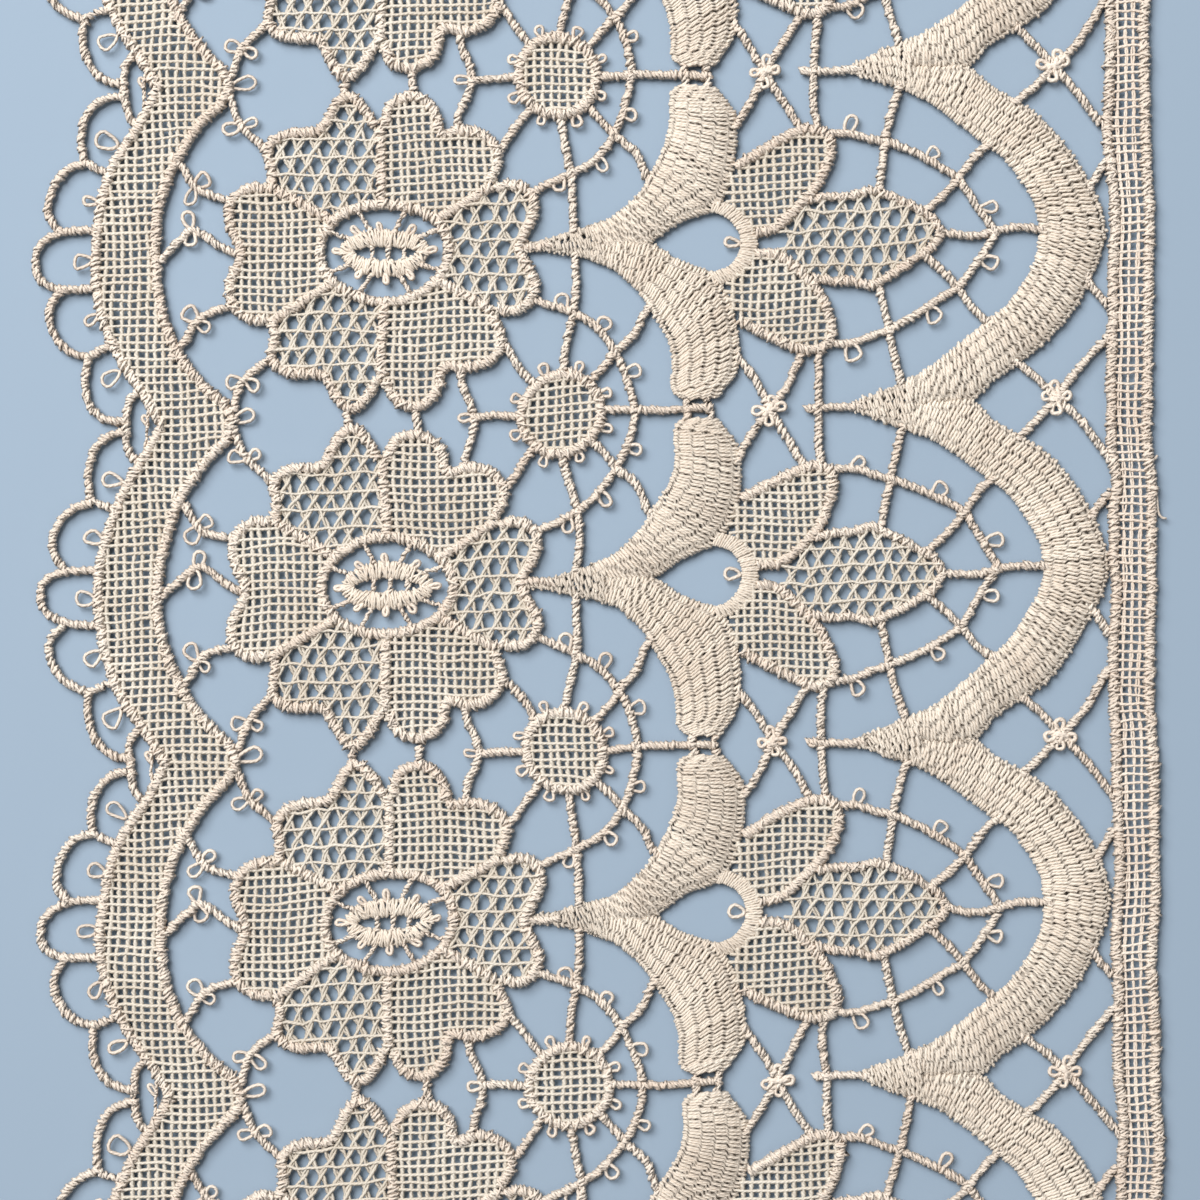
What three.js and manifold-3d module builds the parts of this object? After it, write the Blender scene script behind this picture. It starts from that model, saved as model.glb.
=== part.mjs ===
// Guipure lace border: a cut length that lies flat, with a scalloped edge and a straight heading.
// X runs across the border towards the heading, Y along it and Z up, in millimetres.
// Places on one repeat are given as u across and v along, from the axis of its flower.
// The repeat is mirrored about that axis and about the axis of its suns, half a repeat away.
import * as THREE from "three";
import { mergeVertices } from "three/addons/utils/BufferGeometryUtils.js";
import Module from "manifold-3d";

const pitch = 33.6;
const half = pitch / 2;
const repeats = 4;
// Where the ends are cut straight across, from a flower's axis.
const cutV = -3.6;
// Slope of the cross lines, because the lace lies a little out of square.
const lean = 0.0195;
const overlap = 0.25;

const netHeight = 1.0;
const cordHeight = 1.35;
const satinEdgeHeight = 1.4;
const satinHeight = 1.8;
const satinShoulder = 0.75;
const above = 3;

const barWidth = 0.95;
const loopWidth = 0.9;
const rimWidth = 1.05;
const spokeWidth = 0.6;
const pieceGap = 0.3;
const groundSize = 400;
const laceColour = 0xd9cbb4;
const headingColour = 0xdccfb9;
const leastMitre = 0.6;

const tape = { outerU: -30, outerR: 20.8, outerEnd: 40, innerU: -24.6, innerR: 19.3, innerEnd: 52 };
const valley = { slitU: -44, tipU: -35.9 };
const flower = { u: -21.4, valleyR: 13.3, lobeR: 16.7, notchR: 14.2, petals: 6, fullness: 0.6 };
const eye = { openA: 6, openB: 4.4, ringA: 7.2, ringB: 5.6, ovalA: 4.6, ovalB: 2.4 };
const spokeAngles = [62, 120, 238, 302];
const sun = { u: -3.6, rimR: 4.5, netR: 3.4 };
const calyx = { u: 11.1, innerR: 2.9, outerR: 4.6, reach: 88 };
const heading = { from: 51, to: 55.6, netFrom: 52.05, netTo: 54.5 };

// One row for each bar: its two ends, and the place that it bends through if it isn't straight.
const bars = [
  { name: "tape to petal", u0: -42.6, v0: 10.2, u1: -40.6, v1: 6.7, u2: -36.9, v2: 5.4 },
  { name: "valley to petal", u0: -36.6, v0: 15.8, u1: -35.4, v1: 13.4, u2: -32.2, v2: 10.4 },
  { name: "cross knot to petal", u0: -12.3, v0: half, u1: -12.8, v1: 14.9, u2: -13.6, v2: 12 },
  { name: "sun to petal", u0: -6.4, v0: 13.6, u2: -9.6, v2: 9.2 },
  { name: "sun to branch", u0: -3.5, v0: 12.8, u1: -2.8, v1: 7.2, u2: -2.4, v2: 0.8 },
  { name: "sun to ring", u0: -0.6, v0: 13.8, u2: 2.2, v2: 10.4 },
  { name: "ring to branch", u0: 2, v0: 10.9, u1: 4, v1: 8.9, u2: 5.4, v2: 5.8 },
  { name: "knot to branch", u0: 17.2, v0: half, u2: 13.8, v2: 11.4 },
  { name: "knot to tulip", u0: 17.2, v0: half, u2: 20.8, v2: 10.8 },
  { name: "tulip to stem", u0: 22.4, v0: 10.8, u1: 22, v1: 14, u2: 22.1, v2: half + overlap },
  { name: "web spoke", u0: 28, v0: 4.6, u1: 29.2, v1: 9.3, u2: 30.6, v2: 15 },
  { name: "web tip spoke", u0: 32.2, v0: 1.8, u1: 36.1, v1: 5.4, u2: 39.9, v2: 9.3 },
  { name: "knot to scallop", u0: 46, v0: half, u2: 41.8, v2: 12.8 },
  { name: "knot to heading", u0: 46, v0: half, u2: 50.9, v2: 10.6 },
  { name: "scallop to heading", u0: 48.6, v0: 3.6, u2: 51, v2: 7.3 },
  { name: "scallop to tape", u0: -51, v0: 9.7, u2: -48.4, v2: 8.5 },
  { name: "valley cord", u0: -45.6, v0: 12.9, u1: -46.9, v1: 14.8, u2: -47, v2: half + overlap },
];
// Short links from a motif to the axis of the suns.
const links = [
  { name: "left petal tip", u: -24.9, v: 15 },
  { name: "right petal tip", u: -18.1, v: 15 },
  { name: "branch end, sun side", u: 9.1, v: 15 },
  { name: "branch end, tulip side", u: 11.3, v: 15 },
];
// Bars on the axis of the suns.
const sunBars = [
  { name: "cross knot to sun", from: -12.9, to: -7.5 },
  { name: "sun to branches", from: 0.3, to: 11.7 },
  { name: "scallop stem", from: 21, to: 26 },
];
// Cords that bend through several places, by their u and v.
const edgeLoops = [
  [{ u: -50.3, v: 2.85 }, { u: -53.6, v: 2.75 }, { u: -55.7, v: 1.7 }, { u: -56.2, v: -overlap }],
  [{ u: -53.6, v: 2.7 }, { u: -54.8, v: 5.2 }, { u: -53.5, v: 8.3 }, { u: -50.8, v: 9.7 }],
  [{ u: -51, v: 9.6 }, { u: -51, v: 12.2 }, { u: -49.9, v: 14.9 }, { u: -46.8, v: 16.2 }],
];
const sunRing = [
  { u: -6.8, v: 5.2 },
  { u: -2.4, v: 7 },
  { u: 1.7, v: 10.6 },
  { u: 3.4, v: 14.4 },
  { u: 3.8, v: half + overlap },
];
const web = [
  { u: 23, v: 10.4 },
  { u: 26.6, v: 10.2 },
  { u: 32, v: 8.1 },
  { u: 36.1, v: 5.5 },
  { u: 39.8, v: -overlap },
];
const archedBar = [
  { u: -44.2, v: -0.6 },
  { u: -41.8, v: 1.5 },
  { u: -40.4, v: 2.6 },
  { u: -39.1, v: 2 },
  { u: -35.9, v: -0.2 },
];
// Bars on the axis of the flowers.
const flowerBars = [
  { name: "flower to branch", from: -8.6, to: -2.6 },
  { name: "web to scallop", from: 33.4, to: 45 },
];
const knots = [
  { name: "between branch and tulip", u: 17.2, r: 1.3 },
  { name: "between scallop and heading", u: 46, r: 1.4 },
];
// Sections across the upper arm of the branch, from its stem to its end.
const branch = [
  { outerU: -3.4, outerV: 1.1, innerU: -3.4, innerV: 0 },
  { outerU: 1.6, outerV: 2.7, innerU: 5.5, innerV: 0 },
  { outerU: 4.2, outerV: 5.1, innerU: 8, innerV: 1.8 },
  { outerU: 6.6, outerV: 9, innerU: 11.5, innerV: 3 },
  { outerU: 7.6, outerV: 11.8, innerU: 13.8, innerV: 7.8 },
  { outerU: 7.6, outerV: 15, innerU: 14.3, innerV: 11.1 },
  { outerU: 8.6, outerV: 15.9, innerU: 12, innerV: 15.7 },
];
// Sections across the large scallop, from the axis of the suns to its apex.
const scallop = [
  { innerU: 31, innerV: 14.3, outerU: 37.4, outerV: half },
  { innerU: 35.8, innerV: 11.5, outerU: 43.3, outerV: 12.5 },
  { innerU: 40.8, innerV: 7.4, outerU: 47.2, outerV: 8.6 },
  { innerU: 43.5, innerV: 3.4, outerU: 49.9, outerV: 3.9 },
  { innerU: 44.3, innerV: 0, outerU: 50.8, outerV: 0 },
];
// Upper edge of the satin point where two scallops meet, from the axis of the suns.
const scallopPoint = [
  { u: 25.5, v: 0.5 },
  { u: 28, v: 1.25 },
  { u: 31, v: 2.4 },
  { u: 34.5, v: 2.2 },
  { u: 37.4, v: 0 },
];
// Outlines of the tulip's petals, charted by hand from the calyx round.
const sidePetal = [
  { u: 12.9, v: 4.7 },
  { u: 13.9, v: 7.6 },
  { u: 18.6, v: 10.3 },
  { u: 21, v: 11.3 },
  { u: 23.5, v: 10.7 },
  { u: 23.6, v: 7.9 },
  { u: 22, v: 4.6 },
  { u: 18.2, v: 0.9 },
  { u: 15.5, v: 0.3 },
  { u: 14.7, v: 2.7 },
];
const middlePetal = [
  { u: 17, v: 0 },
  { u: 21.6, v: 4.4 },
  { u: 24.6, v: 4.4 },
  { u: 28.2, v: 4.9 },
  { u: 30.9, v: 3.3 },
  { u: 33.6, v: 1.6 },
  { u: 34.4, v: 0 },
];
// Row of the branch at which its two arms fork.
const branchFork = 1;
// Places round a petal, from one side at -1 to the other at 1, where its outline and its net have corners.
const petalTurns = [-1, -0.72, -0.28, 0, 0.28, 0.72];
const netTurns = [-0.78, -0.35, 0, 0.35, 0.78];
const netFootTurns = [0.6, -0.6];

const roundSides = 12;
const knotSides = 8;
const arcSides = 6;
const curveSides = 4;

const wasm = await Module();
wasm.setup();

const radians = THREE.MathUtils.degToRad;
const point = (u, v) => new THREE.Vector2(u, v);
const points = (rows) => rows.map((row) => point(row.u, row.v));
const mirrored = (list) => list.map((p) => point(p.x, -p.y)).reverse();
const closedTwin = (list) => [...list, ...mirrored(list.filter((p) => p.y !== 0))];

// Shifts places on a repeat to the repeat whose flower axis lies at the given distance along.
const laid = (list, along) => list.map((p) => point(p.x, p.y + along + lean * p.x));

function toSolid(geometry) {
  const bare = geometry.clone();
  bare.deleteAttribute("normal");
  bare.deleteAttribute("uv");
  const merged = mergeVertices(bare, 1e-4);
  return new wasm.Manifold(
    new wasm.Mesh({
      numProp: 3,
      vertProperties: new Float32Array(merged.attributes.position.array),
      triVerts: new Uint32Array(merged.index.array),
    }),
  );
}

// A plate on the ground, or from the given height up, with the given holes.
function plate(outline, height, base = 0, holes = []) {
  const shape = new THREE.Shape(outline);
  shape.holes = holes.map((hole) => new THREE.Path(hole));
  const geometry = new THREE.ExtrudeGeometry(shape, { depth: height - base, bevelEnabled: false });
  geometry.translate(0, 0, base);
  return toSolid(geometry);
}

const ground = new THREE.BoxGeometry(groundSize, groundSize, above);
ground.translate(0, 0, -above / 2);
const groundSolid = toSolid(ground);

// A plate whose top edge slopes in, for padded satin; the slope at its foot is cut off at the ground.
function padded(outline) {
  const geometry = new THREE.ExtrudeGeometry(new THREE.Shape(outline), {
    depth: satinEdgeHeight,
    bevelThickness: satinHeight - satinEdgeHeight,
    bevelSize: satinShoulder,
    bevelOffset: -satinShoulder,
    bevelSegments: 1,
  });
  return toSolid(geometry).subtract(groundSolid);
}

// Moves a closed outline inwards by the given distance, along each corner's bisector.
function inset(outline, distance) {
  const turn = THREE.ShapeUtils.area(outline) > 0 ? 1 : -1;
  return outline.map((p, i) => {
    const before = p.clone().sub(outline.at(i - 1)).normalize();
    const after = outline[(i + 1) % outline.length].clone().sub(p).normalize();
    const along = before.clone().add(after).normalize();
    const step = (turn * distance) / Math.max(along.dot(after), leastMitre);
    return point(p.x - along.y * step, p.y + along.x * step);
  });
}

// The outline of a cord of even width along a path.
function strip(path, width) {
  const left = [];
  const right = [];
  path.forEach((p, i) => {
    const next = path[Math.min(i + 1, path.length - 1)];
    const last = path[Math.max(i - 1, 0)];
    const ahead = next.clone().sub(last).setLength(width / 2);
    left.push(point(p.x - ahead.y, p.y + ahead.x));
    right.unshift(point(p.x + ahead.y, p.y - ahead.x));
  });
  return [...left, ...right];
}

const curve = (rows) => new THREE.SplineCurve(points(rows)).getPoints(curveSides);
const ellipse = (u, a, b, sides = roundSides) =>
  new THREE.EllipseCurve(u, 0, a, b).getPoints(sides).slice(0, -1);
const arc = (u, radius, from, to) =>
  new THREE.EllipseCurve(u, 0, radius, radius, radians(from), radians(to), to < from).getPoints(arcSides);

// Radius of the flower's outline: each petal has two lobes with a notch between them.
function petalRadius(turn) {
  const lobe = Math.abs(Math.sin(Math.PI * turn)) ** flower.fullness;
  const foot = THREE.MathUtils.lerp(flower.notchR, flower.valleyR, Math.abs(turn));
  return foot + (flower.lobeR - foot) * lobe;
}
const petalAngle = (petal, turn) => ((petal + turn / 2) * 2 * Math.PI) / flower.petals;
const fromFlower = (radius, angle) => point(flower.u + radius * Math.cos(angle), radius * Math.sin(angle));
const ellipseRadius = (a, b, angle) => (a * b) / Math.hypot(b * Math.cos(angle), a * Math.sin(angle));

function flowerOutline() {
  const outline = [];
  for (let petal = 0; petal < flower.petals; petal++) {
    for (const turn of petalTurns) outline.push(fromFlower(petalRadius(turn), petalAngle(petal, turn)));
  }
  return outline;
}

// The net field of one petal, between the rim and the ring round the eye.
function petalNet(petal) {
  const outer = netTurns.map((turn) => fromFlower(petalRadius(turn) - rimWidth, petalAngle(petal, turn)));
  const inner = netFootTurns.map((turn) => {
    const angle = petalAngle(petal, turn);
    return fromFlower(ellipseRadius(eye.ringA, eye.ringB, angle), angle);
  });
  return [...outer, ...inner];
}

function tapeOutline(rim) {
  const outer = arc(tape.outerU, tape.outerR - rim, 180 - tape.outerEnd, 180 + tape.outerEnd);
  const inner = arc(tape.innerU, tape.innerR + rim, 180 + tape.innerEnd, 180 - tape.innerEnd);
  const slit = point(valley.slitU + rim, -half - overlap);
  const tip = point(valley.tipU - rim, -half - overlap);
  return [...outer, slit, tip, ...inner, ...mirrored([slit, tip])];
}

// Outlines of the bars, cords and rims of one repeat.
function cordOutlines() {
  const single = [tapeOutline(0), closedTwin(points(middlePetal))];
  single.push(strip(curve(archedBar), barWidth));
  for (const bar of flowerBars) single.push(strip([point(bar.from, 0), point(bar.to, 0)], barWidth));
  for (const degrees of spokeAngles) {
    const angle = radians(degrees);
    const outer = ellipseRadius(eye.openA, eye.openB, angle) + overlap;
    single.push(strip([fromFlower(overlap, angle), fromFlower(outer, angle)], spokeWidth));
  }
  const twins = [points(sidePetal)];
  for (const bar of bars) {
    const bend = bar.u1 === undefined ? [] : [point(bar.u1, bar.v1)];
    twins.push(strip([point(bar.u0, bar.v0), ...bend, point(bar.u2, bar.v2)], barWidth));
  }
  for (const link of links) {
    const path = [point(link.u, link.v), point(link.u, half + overlap)];
    twins.push(strip(path, barWidth));
  }
  for (const loop of edgeLoops) twins.push(strip(curve(loop), loopWidth));
  twins.push(strip(curve(sunRing), barWidth));
  twins.push(strip(curve(web), barWidth));
  return [...single, ...twins, ...twins.map(mirrored)];
}

// Net fields of one repeat, sunk below their rims.
function netOutlines() {
  const petals = Array.from({ length: flower.petals }, (_, petal) => petalNet(petal));
  const side = inset(points(sidePetal), rimWidth);
  const middle = inset(closedTwin(points(middlePetal)), rimWidth);
  return [tapeOutline(rimWidth), ...petals, side, mirrored(side), middle];
}

function branchOutline() {
  const outer = branch.map((row) => point(row.outerU, row.outerV));
  const inner = branch.slice(branchFork).map((row) => point(row.innerU, row.innerV));
  return closedTwin([...inner, ...outer.reverse()]);
}

function scallopOutline() {
  const inner = scallop.map((row) => point(row.innerU, row.innerV));
  const outer = scallop.map((row) => point(row.outerU, row.outerV)).reverse();
  return closedTwin([...outer, ...inner]);
}

function calyxOutline() {
  const outer = arc(calyx.u, calyx.outerR, -calyx.reach, calyx.reach);
  const inner = arc(calyx.u, calyx.innerR, calyx.reach, -calyx.reach);
  return [...outer, ...inner];
}

// Flower axes lie at whole repeats and sun axes halfway between, counted from the middle flower.
const cordSolids = [];
const netSolids = [];
const satinSolids = [];
for (let axis = -repeats / 2; axis <= repeats / 2; axis++) {
  const along = axis * pitch;
  const opening = laid(ellipse(flower.u, eye.openA, eye.openB), along);
  cordSolids.push(plate(laid(flowerOutline(), along), cordHeight, 0, [opening]));
  for (const outline of cordOutlines()) cordSolids.push(plate(laid(outline, along), cordHeight));
  for (const outline of netOutlines()) netSolids.push(plate(laid(outline, along), above, netHeight));
  satinSolids.push(padded(laid(branchOutline(), along)));
  satinSolids.push(padded(laid(scallopOutline(), along)));
  satinSolids.push(plate(laid(calyxOutline(), along), satinEdgeHeight));
  satinSolids.push(plate(laid(ellipse(flower.u, eye.ovalA, eye.ovalB), along), satinEdgeHeight));
}
for (let axis = 0; axis < repeats; axis++) {
  const along = (axis + 0.5 - repeats / 2) * pitch;
  cordSolids.push(plate(laid(ellipse(sun.u, sun.rimR, sun.rimR), along), cordHeight));
  netSolids.push(plate(laid(ellipse(sun.u, sun.netR, sun.netR, knotSides), along), above, netHeight));
  for (const bar of sunBars) {
    const path = [point(bar.from, 0), point(bar.to, 0)];
    cordSolids.push(plate(laid(strip(path, barWidth), along), cordHeight));
  }
  for (const knot of knots) {
    cordSolids.push(plate(laid(ellipse(knot.u, knot.r, knot.r, knotSides), along), cordHeight));
  }
  satinSolids.push(plate(laid(closedTwin(points(scallopPoint)), along), satinHeight));
}

// A rectangle between two places across, as long as the cut piece less the given margin at each end.
function lengthwise(from, to, margin) {
  const end = (repeats * pitch) / 2 - margin;
  return laid([point(from, -end), point(to, -end), point(to, end), point(from, end)], cutV);
}
const cutPiece = plate(lengthwise(-groundSize, heading.from - pieceGap, 0), above, -above);

const laceSolid = wasm.Manifold.union(cordSolids)
  .subtract(wasm.Manifold.union(netSolids))
  .add(wasm.Manifold.union(satinSolids))
  .intersect(cutPiece)
  .asOriginal()
  .simplify();
const headingNet = plate(lengthwise(heading.netFrom, heading.netTo, -overlap), above, netHeight);
const headingSolid = plate(lengthwise(heading.from, heading.to, 0), cordHeight).subtract(headingNet);

function toMesh(solid, name, material) {
  const { vertProperties, triVerts } = solid.getMesh();
  const geometry = new THREE.BufferGeometry();
  geometry.setAttribute("position", new THREE.BufferAttribute(vertProperties, 3));
  geometry.setIndex(new THREE.BufferAttribute(triVerts, 1));
  geometry.computeVertexNormals();
  const mesh = new THREE.Mesh(geometry, material);
  mesh.name = name;
  return mesh;
}

const border = new THREE.Group();
const cotton = (color) => new THREE.MeshStandardMaterial({ color, roughness: 0.9 });
border.add(toMesh(laceSolid, "lace", cotton(laceColour)));
border.add(toMesh(headingSolid, "heading", cotton(headingColour)));

// The origin is the middle of the underside.
const middle = new THREE.Box3().setFromObject(border).getCenter(new THREE.Vector3());
for (const piece of border.children) piece.geometry.translate(-middle.x, -middle.y, 0);
export default border;
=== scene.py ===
import math

import bpy
import numpy as np
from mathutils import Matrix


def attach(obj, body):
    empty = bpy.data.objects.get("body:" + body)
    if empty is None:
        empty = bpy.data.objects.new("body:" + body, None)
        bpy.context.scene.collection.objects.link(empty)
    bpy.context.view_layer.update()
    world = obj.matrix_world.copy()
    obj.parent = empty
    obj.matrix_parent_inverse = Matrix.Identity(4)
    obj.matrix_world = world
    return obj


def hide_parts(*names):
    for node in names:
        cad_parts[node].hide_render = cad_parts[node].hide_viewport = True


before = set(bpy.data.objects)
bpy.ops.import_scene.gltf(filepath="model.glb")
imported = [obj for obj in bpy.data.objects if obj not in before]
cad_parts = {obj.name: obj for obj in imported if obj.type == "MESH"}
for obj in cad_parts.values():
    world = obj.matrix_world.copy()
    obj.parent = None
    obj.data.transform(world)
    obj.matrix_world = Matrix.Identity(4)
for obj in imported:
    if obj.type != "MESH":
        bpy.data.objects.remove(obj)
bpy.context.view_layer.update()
rng = np.random.default_rng(11)

# Places on a repeat are u across and v along from the flower's axis, in millimetres, as in the CAD source.
layout = {"pitch": 33.6, "repeats": 4, "lean": 0.0195, "cut": -3.6, "originU": -0.522, "originV": -3.591}
metres = 0.001  # in a millimetre
tiny = 1e-9  # the least length to divide by
half = layout["pitch"] / 2
flowerAxes = [k * layout["pitch"] for k in (-2, -1, 0, 1, 2)]
sunAxes = [(k + 0.5) * layout["pitch"] for k in (-2, -1, 0, 1)]

# Each swing has its size, its turn for each millimetre across and along, and its phase.
waver = {
    "across": ((0.16, 0, 0.21, 0.9), (0.09, 0.31, 0.47, 0)),
    "along": ((0.17, 0.17, 0.05, 0), (0.11, 0.53, 0.09, 0)),
    "reach": 66,  # the cut ends stay straight
}


def swing(kind, u, v):
    return sum(size * np.sin(turnU * u + turnV * v + phase) for size, turnU, turnV, phase in waver[kind])


def lay(path, along):
    # Sets a path down on its repeat; the whole lace wavers a little, so that no two repeats are alike.
    path = np.asarray(path, float)
    u, v = path[:, 0], path[:, 1] + along
    u = u + swing("across", u, v)
    v = v + swing("along", u, v) * (np.abs(v - layout["cut"]) < waver["reach"])
    return np.stack([u - layout["originU"], v + layout["lean"] * u - layout["originV"]], 1)


def flip(path):
    return np.asarray(path, float) * [1, -1]


def mirrored(path):
    return flip(path)[::-1]


def withTwin(path):
    # A path that ends on the axis, carried on by its mirror image.
    return np.concatenate([path, mirrored(path)[1:]])


def distances(path):
    # How far along the path each of its points lies.
    return np.concatenate([[0], np.cumsum(np.linalg.norm(np.diff(path, axis=0), axis=1))])


def unit(rows):
    return rows / np.maximum(np.linalg.norm(rows, axis=-1, keepdims=True), tiny)


def resample(path, step):
    path = np.asarray(path, float)
    far = distances(path)
    count = max(int(round(far[-1] / step)), 2) + 1
    at = np.linspace(0, far[-1], count)
    return np.stack([np.interp(at, far, path[:, i]) for i in range(path.shape[1])], 1)


# Millimetres between the points of a curve, for each use.
curveStep = {"bar": 0.4, "rim": 0.2, "net": 0.3, "petalNet": 0.5, "satin": 0.1, "looseEnd": 0.25}


def spline(points, use, between=24):
    # A smooth curve through the points.
    p = np.asarray(points, float)
    p = np.concatenate([2 * p[:1] - p[1:2], p, 2 * p[-1:] - p[-2:-1]])
    t = np.linspace(0, 1, between, endpoint=False)[:, None]
    parts = []
    for a, b, c, d in zip(p[:-3], p[1:-2], p[2:-1], p[3:]):
        curve = 2 * b + (c - a) * t + (2 * a - 5 * b + 4 * c - d) * t**2 + (3 * b - a - 3 * c + d) * t**3
        parts.append(0.5 * curve)
    parts.append(p[-2:-1])
    return resample(np.concatenate(parts), curveStep[use])


def sidesOf(path):
    # Unit vectors ahead and to the left at each point.
    ahead = unit(np.gradient(path[:, :2], axis=0))
    return ahead, np.stack([-ahead[:, 1], ahead[:, 0]], 1)


def offset(path, distance):
    return path + sidesOf(path)[1] * distance


def moved(path, stray):
    return path + sidesOf(path)[1] * stray[:, None]


def placesAt(path, shares):
    far = distances(path)
    return np.stack([np.interp(np.asarray(shares) * far[-1], far, path[:, i]) for i in range(2)], -1)


def ringPoints(a, b, turn):
    return np.stack([a * np.cos(turn), b * np.sin(turn)], 1)


def drift(count, size, reach):
    # A smooth random walk, for wavering threads; reach is the points between its knots.
    knots = rng.normal(0, size, max(int(count / reach), 1) + 3)
    return np.interp(np.linspace(0, len(knots) - 1, count), np.arange(len(knots)), knots)


def raised(path, height):
    return np.column_stack([path, np.broadcast_to(height, len(path))])


# Shares of the radius by which a tube's end reaches out and draws in, and the span that its twist starts in.
tubeEnd = {"reach": 0.4, "tip": 0.02, "slide": 9}


class Yarns:
    # Collects yarns as tubes and joins them into one mesh.
    def __init__(self, name):
        self.name = name
        self.total = 0
        self.points, self.quads, self.maps, self.tints, self.shades = [], [], [], [], []

    def add(self, path, radius, sides, around=None, shade=1.0):
        # Keeps what lies between the two cut ends of the border.
        path = np.asarray(path, float)
        radius = np.broadcast_to(radius, len(path)).astype(float)
        shade = np.broadcast_to(shade, len(path)).astype(float)
        tint = rng.uniform(0, 1)
        u, v = path[:, 0] + layout["originU"], path[:, 1] + layout["originV"]
        inside = np.abs(v - layout["lean"] * u - layout["cut"]) <= layout["repeats"] * half
        edges = np.flatnonzero(np.diff(np.concatenate([[0], inside.astype(int), [0]])))
        for a, b in zip(edges[::2], edges[1::2]):
            if b - a > 2:
                axis = None if around is None else around[a:b]
                self.tube(path[a:b], radius[a:b], sides, axis, tint, shade[a:b])

    def tube(self, path, radius, sides, around, tint, shade):
        # Both ends are drawn in to a blunt tip.
        start = unit(path[0] - path[1]) * radius[0] * tubeEnd["reach"]
        end = unit(path[-1] - path[-2]) * radius[-1] * tubeEnd["reach"]
        path = np.concatenate([[path[0] + start], path, [path[-1] + end]])
        radius = np.concatenate([radius[:1] * tubeEnd["tip"], radius, radius[-1:] * tubeEnd["tip"]])
        ahead = unit(np.gradient(path, axis=0))
        ref = np.array([0, 0, 1.0]) if around is None else np.concatenate([around[:1], around, around[-1:]])
        side = unit(np.cross(ref, ahead))
        up = np.cross(ahead, side)
        angle = np.linspace(0, 2 * np.pi, sides, endpoint=False)
        ring = np.cos(angle)[None, :, None] * side[:, None] + np.sin(angle)[None, :, None] * up[:, None]
        count = len(path)
        i, j = np.meshgrid(np.arange(count - 1), np.arange(sides), indexing="ij")
        k = (j + 1) % sides
        quad = np.stack([i * sides + j, i * sides + k, (i + 1) * sides + k, (i + 1) * sides + j], -1)
        far = distances(path) + rng.uniform(0, tubeEnd["slide"])
        turn = np.stack([j, j + 1, j + 1, j], -1) / sides
        along = np.stack([far[i], far[i], far[i + 1], far[i + 1]], -1)
        self.points.append((path[:, None] + radius[:, None, None] * ring).reshape(-1, 3))
        self.quads.append(quad.reshape(-1, 4) + self.total)
        self.maps.append(np.stack([turn, along], -1).reshape(-1, 2))
        self.tints.append(np.full(count * sides, tint))
        self.shades.append(np.repeat(np.concatenate([shade[:1], shade, shade[-1:]]), sides))
        self.total += count * sides

    def build(self, material):
        points = np.concatenate(self.points) * metres
        quads = np.concatenate(self.quads)
        mesh = bpy.data.meshes.new(self.name)
        mesh.vertices.add(len(points))
        mesh.vertices.foreach_set("co", points.astype(np.float32).ravel())
        mesh.loops.add(quads.size)
        mesh.loops.foreach_set("vertex_index", quads.astype(np.int32).ravel())
        mesh.polygons.add(len(quads))
        mesh.polygons.foreach_set("loop_start", np.arange(0, quads.size, 4, dtype=np.int32))
        yarnMap = mesh.uv_layers.new(name="yarn")
        yarnMap.uv.foreach_set("vector", np.concatenate(self.maps).astype(np.float32).ravel())
        # The shade attribute carries painted shade, which the yarn look multiplies into the colour.
        for name, values in (("tint", self.tints), ("shade", self.shades)):
            attribute = mesh.attributes.new(name, "FLOAT", "POINT")
            attribute.data.foreach_set("value", np.concatenate(values).astype(np.float32))
        mesh.update(calc_edges=True)
        mesh.shade_smooth()
        mesh.materials.append(material)
        piece = bpy.data.objects.new(self.name, mesh)
        bpy.context.collection.objects.link(piece)
        print(self.name, 2 * len(quads), "triangles")
        return piece


# Turns are the places of a stitch's points round the core, in half turns; the hidden underside has one.
turns = (0, 0.33, 0.67, 1, 1.5)
# The core value is the painted shade on the core under the wraps; nought leaves the core out.
rimStitch = {
    "width": 1.24, "stitch": 0.275, "slant": 0.15, "height": 0.62,
    "tall": 0.44, "thread": 0.142, "uneven": 1.0, "core": 0.88,
}
crossStitch = {
    "width": 1.26, "stitch": 0.85, "slant": -0.3, "height": 0.66,
    "tall": 0.47, "thread": 0.125, "uneven": 1.3, "core": 0,
}
barStitch = {
    "width": 1.0, "stitch": 0.305, "slant": 0.17, "height": 0.54,
    "tall": 0.35, "thread": 0.16, "uneven": 0.9, "core": 0.88,
}
thinStitch = {
    "width": 0.62, "stitch": 0.3, "slant": 0.12, "height": 0.72,
    "tall": 0.17, "thread": 0.14, "uneven": 0.8, "core": 0.9,
}
# How far stitches of unevenness 1 stray, the share of them that are lumps, and the lumps' size.
scatter = {
    "reach": 0.1, "slant": 0.19, "along": 0.07, "side": 0.05, "tall": 0.05, "thread": 0.07,
    "lumps": 0.28, "lump": 0.13, "lumpSide": 0.6, "swell": 0.25,
}
cordParts = {"yarnSides": 3, "coreSides": 4, "coreEvery": 3, "coreLow": 0.03}


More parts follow.
